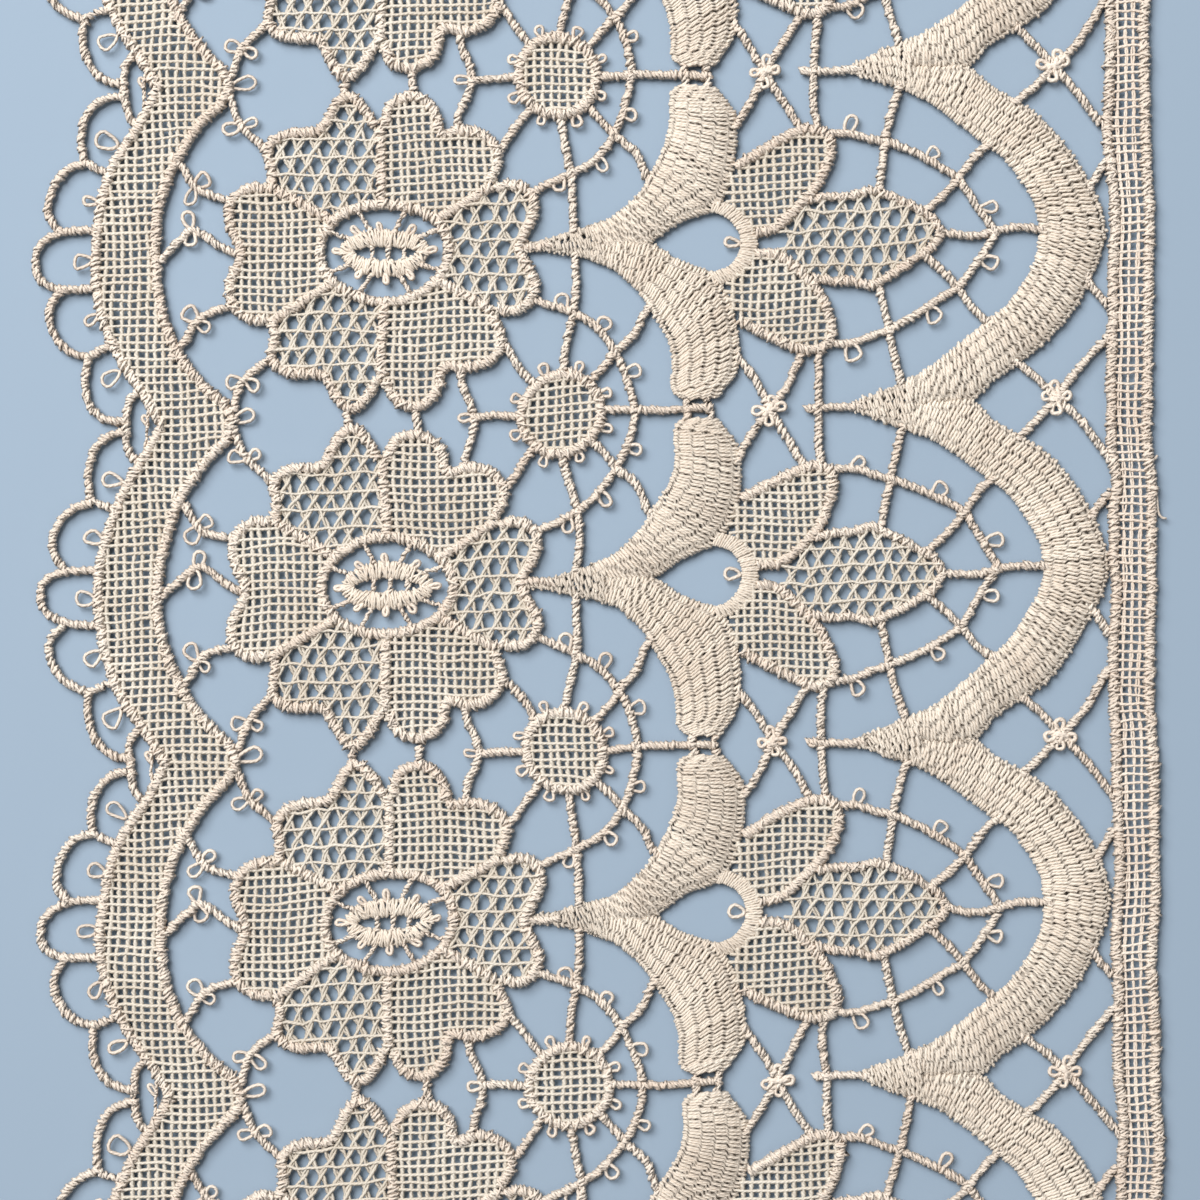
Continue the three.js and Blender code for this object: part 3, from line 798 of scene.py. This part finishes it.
# The tulip: a side petal's free edge, clockwise, its foot on the branch, and the middle petal's upper edge.
tulipSide = [
    (13.9, 8.1), (16.4, 9.5), (18.7, 10.6), (21, 11.5), (23.3, 11.0), (24.0, 9.1), (23.4, 7.1),
    (22.3, 4.9), (20.3, 2.7), (18.3, 1.05), (16.9, 0.6), (15.7, 0.6),
]
tulipFoot = [(15.4, 1.2), (14.5, 3.0), (12.8, 4.5), (13.4, 6.6)]
tulipTop = [
    (21.6, 4.2), (23.6, 4.6), (25.5, 4.6), (27.4, 5.1), (29.2, 4.4),
    (30.7, 3.6), (32.0, 2.7), (33.6, 1.6), (34.6, 0.0),
]
# The middle petal's rim and net are its edge drawn in by a share along and a distance back.
tulip = {
    "rimInset": 0.5, "netInset": 0.8, "heart": (17.4, 0), "topWide": 0.85,
    "topRim": {"share": 0.92, "back": 0.3}, "topNet": {"share": 0.85, "back": 0.5},
}
sun = {
    "u": -3.6, "rim": 3.9, "net": 3.7, "rimPoints": 60, "netPoints": 40,
    "picots": 8, "picotsAt": 4.3, "picotSize": 0.5,
}


def tulipMiddle(use, drawn):
    return withTwin(spline(tulipTop, use) * [1, drawn["share"]] - [drawn["back"], 0])


def sunCircle(radius, count):
    return ringPoints(radius, radius, np.linspace(0, 2 * np.pi, count)) + [sun["u"], 0]


edgeYarns = Yarns("tapeAndTulipRims")
for along in flowerAxes:
    for edge in tapeEdges(tape["rimPoints"], tape["rimInset"]):
        rim(edgeYarns, edge, along)
    side = offset(spline(tulipSide, "rim"), -tulip["rimInset"])
    rim(edgeYarns, side, along)
    rim(edgeYarns, mirrored(side), along)
    rim(edgeYarns, tulipMiddle("rim", tulip["topRim"]), along, tulip["topWide"])
for along in sunAxes:
    rim(edgeYarns, sunCircle(sun["rim"], sun["rimPoints"]), along)
lacePieces.append(edgeYarns.build(cordCotton))
print("rims done")

netYarns = Yarns("nets")
for along in flowerAxes:
    for fill, outline in petals:
        fill(netYarns, petalField(outline) + middle, along)
    side = np.concatenate([offset(spline(tulipSide, "net"), -tulip["netInset"]), tulipFoot])
    fillSquare(netYarns, side, along)
    fillSquare(netYarns, flip(side), along)
    fillOpen(netYarns, np.concatenate([[tulip["heart"]], tulipMiddle("net", tulip["topNet"])]), along)
    left, right = tapeEdges(tape["netPoints"], tape["netInset"])
    fillSquare(netYarns, np.concatenate([left, right[::-1]]), along)
for along in sunAxes:
    fillSquare(netYarns, sunCircle(sun["net"], sun["netPoints"]), along)
netPiece = netYarns.build(netCotton)
print("nets done")

# In each look, one value is a painted shade over the whole band and another the painted shadow at the dips.
branchLook = {
    "pitch": 0.335, "thread": 0.168, "column": 1.35, "stagger": 0, "saw": 0.24, "dip": 0.09,
    "low": 0.6, "crown": 0.6, "uneven": 1.1, "baseShade": 1, "paintedShade": 0.42, "bump": 0.06, "tangle": 0.15,
    "rough": 0.34, "fade": 0.12, "twoForks": False, "steer": 0.035, "waves": 1,
}
scallopLook = {
    "pitch": 0.345, "thread": 0.172, "column": 1.4, "stagger": 0.1, "saw": -0.23, "dip": 0.1,
    "low": 0.6, "crown": 0.6, "uneven": 1.3, "baseShade": 1, "paintedShade": 0.42, "bump": 0.08, "tangle": 0.2,
    "rough": 0.12, "fade": 0.04, "twoForks": True, "steer": -0.027, "waves": 2,
}
fineLook = {
    "pitch": 0.25, "thread": 0.165, "column": 9, "stagger": 0, "saw": 0, "dip": 0,
    "low": 0.7, "crown": 0.45, "uneven": 0.7, "baseShade": 0.88, "paintedShade": 0, "bump": 0.03, "tangle": 0.2,
    "rough": 0, "fade": 0.12, "twoForks": False, "steer": 0, "waves": 1,
}
ovalLook = {
    **fineLook,
    "pitch": 0.19, "thread": 0.14, "crown": 0.9, "uneven": 1.5, "baseShade": 0.95, "bump": 0.04, "tangle": 0.9,
}
stemLook = {
    **branchLook,
    "pitch": 0.24, "thread": 0.15, "column": 1.0, "stagger": 0.6, "uneven": 1.8, "crown": 0.5,
    "baseShade": 0.9, "paintedShade": 0.62, "tangle": 0.7, "rough": 2, "steer": 0,
}
wedgeLook = {
    **stemLook,
    "pitch": 0.235, "thread": 0.17, "uneven": 1.9, "bump": 0.12, "baseShade": 0.95, "paintedShade": 0.45,
}
# Edges of the bands: stem and arm of the branch, then the wedge between two scallops and half a scallop.
stemEdge = [(-7.4, 0.45), (-5.8, 0.5), (-4.6, 0.7), (-3.4, 1.05), (-1.6, 1.5), (-0.4, 1.85), (0.4, 2.1)]
armOuter = [
    (-0.9, 1.6), (0.4, 2.1), (1.7, 2.8), (3, 3.9), (4.2, 5.1), (5.6, 7.3),
    (6.9, 9.5), (7.6, 11.8), (7.6, 13.6), (7.7, 15), (8.8, 15.8),
]
armInner = [
    (-0.3, -0.6), (2.3, -0.55), (4.2, -0.35), (5.8, 0.3), (8, 1.8), (10, 2.6),
    (11.7, 3.3), (13.2, 5.6), (14.0, 8.6), (14.2, 11.1), (13.9, 13.2), (12.2, 15.6),
]
wedgeEdge = [(25.9, 0.45), (27.2, 0.95), (28.4, 1.4), (31, 2.4), (31.7, 2.6)]
scallopOuter = [
    (31.3, half), (34.5, half), (37.6, half - 0.1), (39.5, 14.9), (41.9, 13.4), (44.5, 11.6), (46.3, 9.7),
    (47.8, 7.6), (49.1, 5.2), (50.2, 2.7), (50.8, 0),
]
scallopInner = [
    (31.2, 14.3), (33.5, 13.2), (35.8, 11.5), (38.4, 9.4), (40.9, 7.3), (42.6, 4.9), (43.8, 2.6), (44.3, 0),
]
# The hoop closes the fork: half its angle in degrees, then the radius and the middle of each edge.
hoop = {"half": 88, "points": 30, "outerR": 4.2, "outerU": 11.6, "innerR": 3.05, "innerU": 11.15}
ovalPoints = 60

branchYarns = Yarns("branchSatin")
scallopYarns = Yarns("scallopSatin")
for along in flowerAxes:
    stem = spline(stemEdge, "satin")
    satin(branchYarns, stem, flip(stem), along, stemLook)
    outer, inner = spline(armOuter, "satin"), spline(armInner, "satin")
    satin(branchYarns, outer, inner, along, branchLook)
    satin(branchYarns, flip(outer), flip(inner), along, branchLook)
    arc = ringPoints(1, 1, np.radians(np.linspace(-hoop["half"], hoop["half"], hoop["points"])))
    outer, inner = arc * hoop["outerR"] + [hoop["outerU"], 0], arc * hoop["innerR"] + [hoop["innerU"], 0]
    satin(branchYarns, outer, inner, along, fineLook)
    outer, inner = withTwin(spline(scallopOuter, "satin")), withTwin(spline(scallopInner, "satin"))
    satin(scallopYarns, outer, inner, along, scallopLook)
    # The oval in the eye is stitched as two halves that meet at the tips of its slit.
    turn = np.linspace(np.pi, 0, ovalPoints)
    oval = ringPoints(eye["ovalA"], eye["ovalB"], turn)
    slit = ringPoints(eye["slitA"], eye["slitB"], turn)
    slit = np.concatenate([[(-eye["tip"], 0)], slit, [(eye["tip"], 0)]])
    satin(branchYarns, oval + middle, slit + middle, along, ovalLook)
    satin(branchYarns, flip(oval) + middle, flip(slit) + middle, along, ovalLook)
for along in sunAxes:
    wedge = spline(wedgeEdge, "satin")
    satin(scallopYarns, wedge, flip(wedge), along, wedgeLook)
lacePieces += [branchYarns.build(satinCotton), scallopYarns.build(satinCotton)]
print("satin done")

# Picots: where each stands, its size and the way it points; these have a twin across the axis.
picotRows = [
    (-47.9, 11.4, 0.85, 2.6), (-50.1, 5.6, 0.7, 2.5), (-40.1, 6.8, 0.68, 0.45), (-40.3, 6.5, 0.75, -2.1),
    (-35.0, 12.9, 0.65, 0.6), (-35.5, 12.9, 0.7, 3.2), (-3.3, 6.6, 0.72, -1.9), (0.1, 8.7, 0.7, -1.0),
    (3.0, 13.0, 0.65, -0.1), (25.3, 10.6, 0.72, 1.0), (33.3, 7.5, 0.7, 1.0), (38.5, 2.6, 0.72, 0.1),
]
# These stand on the flower's axis and on the sun's.
axisPicots = [
    (-50.8, -0.1, 0.78, 3.1), (-40.6, 2.7, 0.72, 1.57), (-40.7, 2.3, 0.75, -1.57), (13.9, 0, 0.68, 3.1),
]
sunPicots = [(-12.3, 0, 0.72, 3.1), (21.7, 0, 0.42, 3.1), (-36.2, 0.2, 0.95, 0.25)]
sunPicotNarrow = 0.6
eyePicot = {"size": 0.48, "narrow": 0.5, "height": 0.75, "thread": 0.2}
eyePicotAt = {"inset": 0.2, "spread": 1.6}
spokeEnd = {"inner": 0.3, "outer": 0.2}
# A thin thread with a picot in the corner of the tape.
cornerThread = {"path": [(-45.1, -2.4), (-45.0, -0.6), (-44.9, 1.4)], "width": 0.4}
cornerPicot = {"base": (-45.0, 0.2), "size": 0.5, "toward": 2.0, "narrow": 0.5}
picotYarns = Yarns("picots")
for along in flowerAxes:
    for u, v, size, toward in picotRows:
        picot(picotYarns, (u, v), along, size, toward)
        picot(picotYarns, (u, -v), along, size, -toward)
    for u, v, size, toward in axisPicots:
        picot(picotYarns, (u, v), along, size, toward)
    for angle in np.radians(eye["picots"]):
        spot = ellipseAt(eye["ovalA"] - eyePicotAt["inset"], eye["ovalB"] - eyePicotAt["inset"], angle)
        toward = math.atan2(math.sin(angle) * eyePicotAt["spread"], math.cos(angle))
        picot(picotYarns, spot + middle, along, toward=toward, **eyePicot)
    for angle in np.radians(eye["spokes"]):
        first = ellipseAt(eye["ovalA"] - spokeEnd["inner"], eye["ovalB"] - spokeEnd["inner"], angle)
        last = ellipseAt(eye["ringA"] - spokeEnd["outer"], eye["ringB"] - spokeEnd["outer"], angle)
        overcast(picotYarns, np.array([first, last]) + middle, along, thinStitch)
    for u in eye["slitBars"]:
        bar = np.array([(u, -eye["slitBarHalf"]), (u, eye["slitBarHalf"])]) + middle
        overcast(picotYarns, bar, along, {**thinStitch, "width": eye["slitBarWidth"]})
for along in sunAxes:
    for number in range(sun["picots"]):
        angle = (number + 0.5) * 2 * np.pi / sun["picots"]
        spot = (sun["u"] + sun["picotsAt"] * np.cos(angle), sun["picotsAt"] * np.sin(angle))
        picot(picotYarns, spot, along, sun["picotSize"], angle)
    for u, v, size, toward in sunPicots:
        picot(picotYarns, (u, v), along, size, toward, sunPicotNarrow)
    look = {**thinStitch, "width": cornerThread["width"]}
    overcast(picotYarns, np.array(cornerThread["path"]), along, look)
    picot(picotYarns, along=along, **cornerPicot)
lacePieces.append(picotYarns.build(cordCotton))
print("picots done")

heading = {
    "left": 51.5, "right": 55.05, "uprights": (52.35, 53.12, 53.93), "row": 0.88, "halfRows": (-190, 176),
    "apart": 0.12, "pinch": 0.3, "strand": 0.12, "height": 0.78, "sink": 0.05, "sides": 4,
    "sway": 0.07, "swayReach": 4, "lump": 0.12, "lumpReach": 3, "edgeSway": 0.08, "edgeReach": 6,
    "crossFrom": 51.7, "crossTo": 54.8, "crossSpacing": 0.7, "crossStray": 0.06, "slim": 0.86,
}
looseEnds = {
    "paths": (
        [(55.3, 10.4), (55.6, 10.7), (55.95, 11.1)],
        [(55.2, 9.6), (55.5, 8.6), (55.6, 6.8), (55.7, 5.5), (56.0, 4.9), (56.5, 4.75)],
    ),
    "height": 0.55, "radius": 0.14, "sides": 5,
}
headingYarns = Yarns("headingTape")
h = heading
runs = np.arange(*h["halfRows"]) * h["row"] / 2
beat = np.cos(2 * np.pi * runs / h["row"])
# Each upright is a pair of strands that draw together at the cross threads.
for u in h["uprights"]:
    for way in (-0.5, 0.5):
        across = u + way * h["apart"] * (1 - h["pinch"] * beat) + drift(len(runs), h["sway"], h["swayReach"])
        path = raised(lay(np.stack([across, runs], 1), 0), h["height"] - h["sink"] * beat)
        headingYarns.add(path, h["strand"] * (1 + drift(len(runs), h["lump"], h["lumpReach"])), h["sides"])
for v in runs[::2]:
    first = (h["crossFrom"], v + rng.normal(0, h["crossStray"]))
    last = (h["crossTo"], v + rng.normal(0, h["crossStray"]))
    netThread(headingYarns, first, last, 0, h["crossSpacing"], False, h["slim"])
for u in (h["left"], h["right"]):
    sway = drift(len(runs), h["edgeSway"], h["edgeReach"])
    rim(headingYarns, np.stack([u + sway, runs], 1), 0)
# Loose yarn ends on the free edge.
for points in looseEnds["paths"]:
    path = raised(lay(spline(points, "looseEnd"), 0), looseEnds["height"])
    headingYarns.add(path, looseEnds["radius"], looseEnds["sides"])
headingPiece = headingYarns.build(cordCotton)
print("heading done")

for piece in (netPiece, *lacePieces):
    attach(piece, "root")
    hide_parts("lace")
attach(headingPiece, "root")
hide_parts("heading")

floorLook = {"colour": (0.29, 0.37, 0.46), "roughness": 0.9, "size": 8.0, "level": -0.00005}
bpy.ops.mesh.primitive_plane_add(size=floorLook["size"], location=(0, 0, floorLook["level"]))
floor = bpy.context.object
floor.name = "floor"
floorMaterial = bpy.data.materials.new("floorPaint")
floorMaterial.use_nodes = True
floorShader = floorMaterial.node_tree.nodes["Principled BSDF"]
floorShader.inputs["Base Color"].default_value = (*floorLook["colour"], 1)
floorShader.inputs["Roughness"].default_value = floorLook["roughness"]
floor.data.materials.append(floorMaterial)


def areaLight(name, place, size, power):
    # Faces the middle of the lace.
    data = bpy.data.lights.new(name, "AREA")
    data.energy = power
    data.size = size
    lamp = bpy.data.objects.new(name, data)
    bpy.context.collection.objects.link(lamp)
    lamp.location = place
    across = math.hypot(place[0], place[1])
    lamp.rotation_euler = (math.atan2(across, place[2]), 0, math.atan2(place[0], -place[1]))


lights = {
    "keyLight": {"place": (-0.32, 0.36, 0.62), "size": 0.55, "power": 9.7},
    "fillLight": {"place": (0.5, -0.3, 0.7), "size": 0.8, "power": 0.8},
}
for name, light in lights.items():
    areaLight(name, **light)
studio = {"colour": (0.95, 0.97, 1), "strength": 0.17}
world = bpy.data.worlds.new("studio")
world.use_nodes = True
sky = world.node_tree.nodes["Background"]
sky.inputs["Color"].default_value = (*studio["colour"], 1)
sky.inputs["Strength"].default_value = studio["strength"]
bpy.context.scene.world = world
bpy.context.scene.view_settings.view_transform = "Standard"

# The camera looks straight down; across is the width that it sees at the lace's own level.
view = {"lens": 85.0, "roll": 0.0095, "middle": (0.000504, 0.00167), "across": 0.12, "level": 0.0007}
cameraData = bpy.data.cameras.new("camera")
cameraData.lens = view["lens"]
camera = bpy.data.objects.new("camera", cameraData)
bpy.context.collection.objects.link(camera)
camera.location = (*view["middle"], view["across"] / cameraData.sensor_width * view["lens"] + view["level"])
camera.rotation_euler = (0, 0, -view["roll"])
bpy.context.scene.camera = camera
print("stage done")
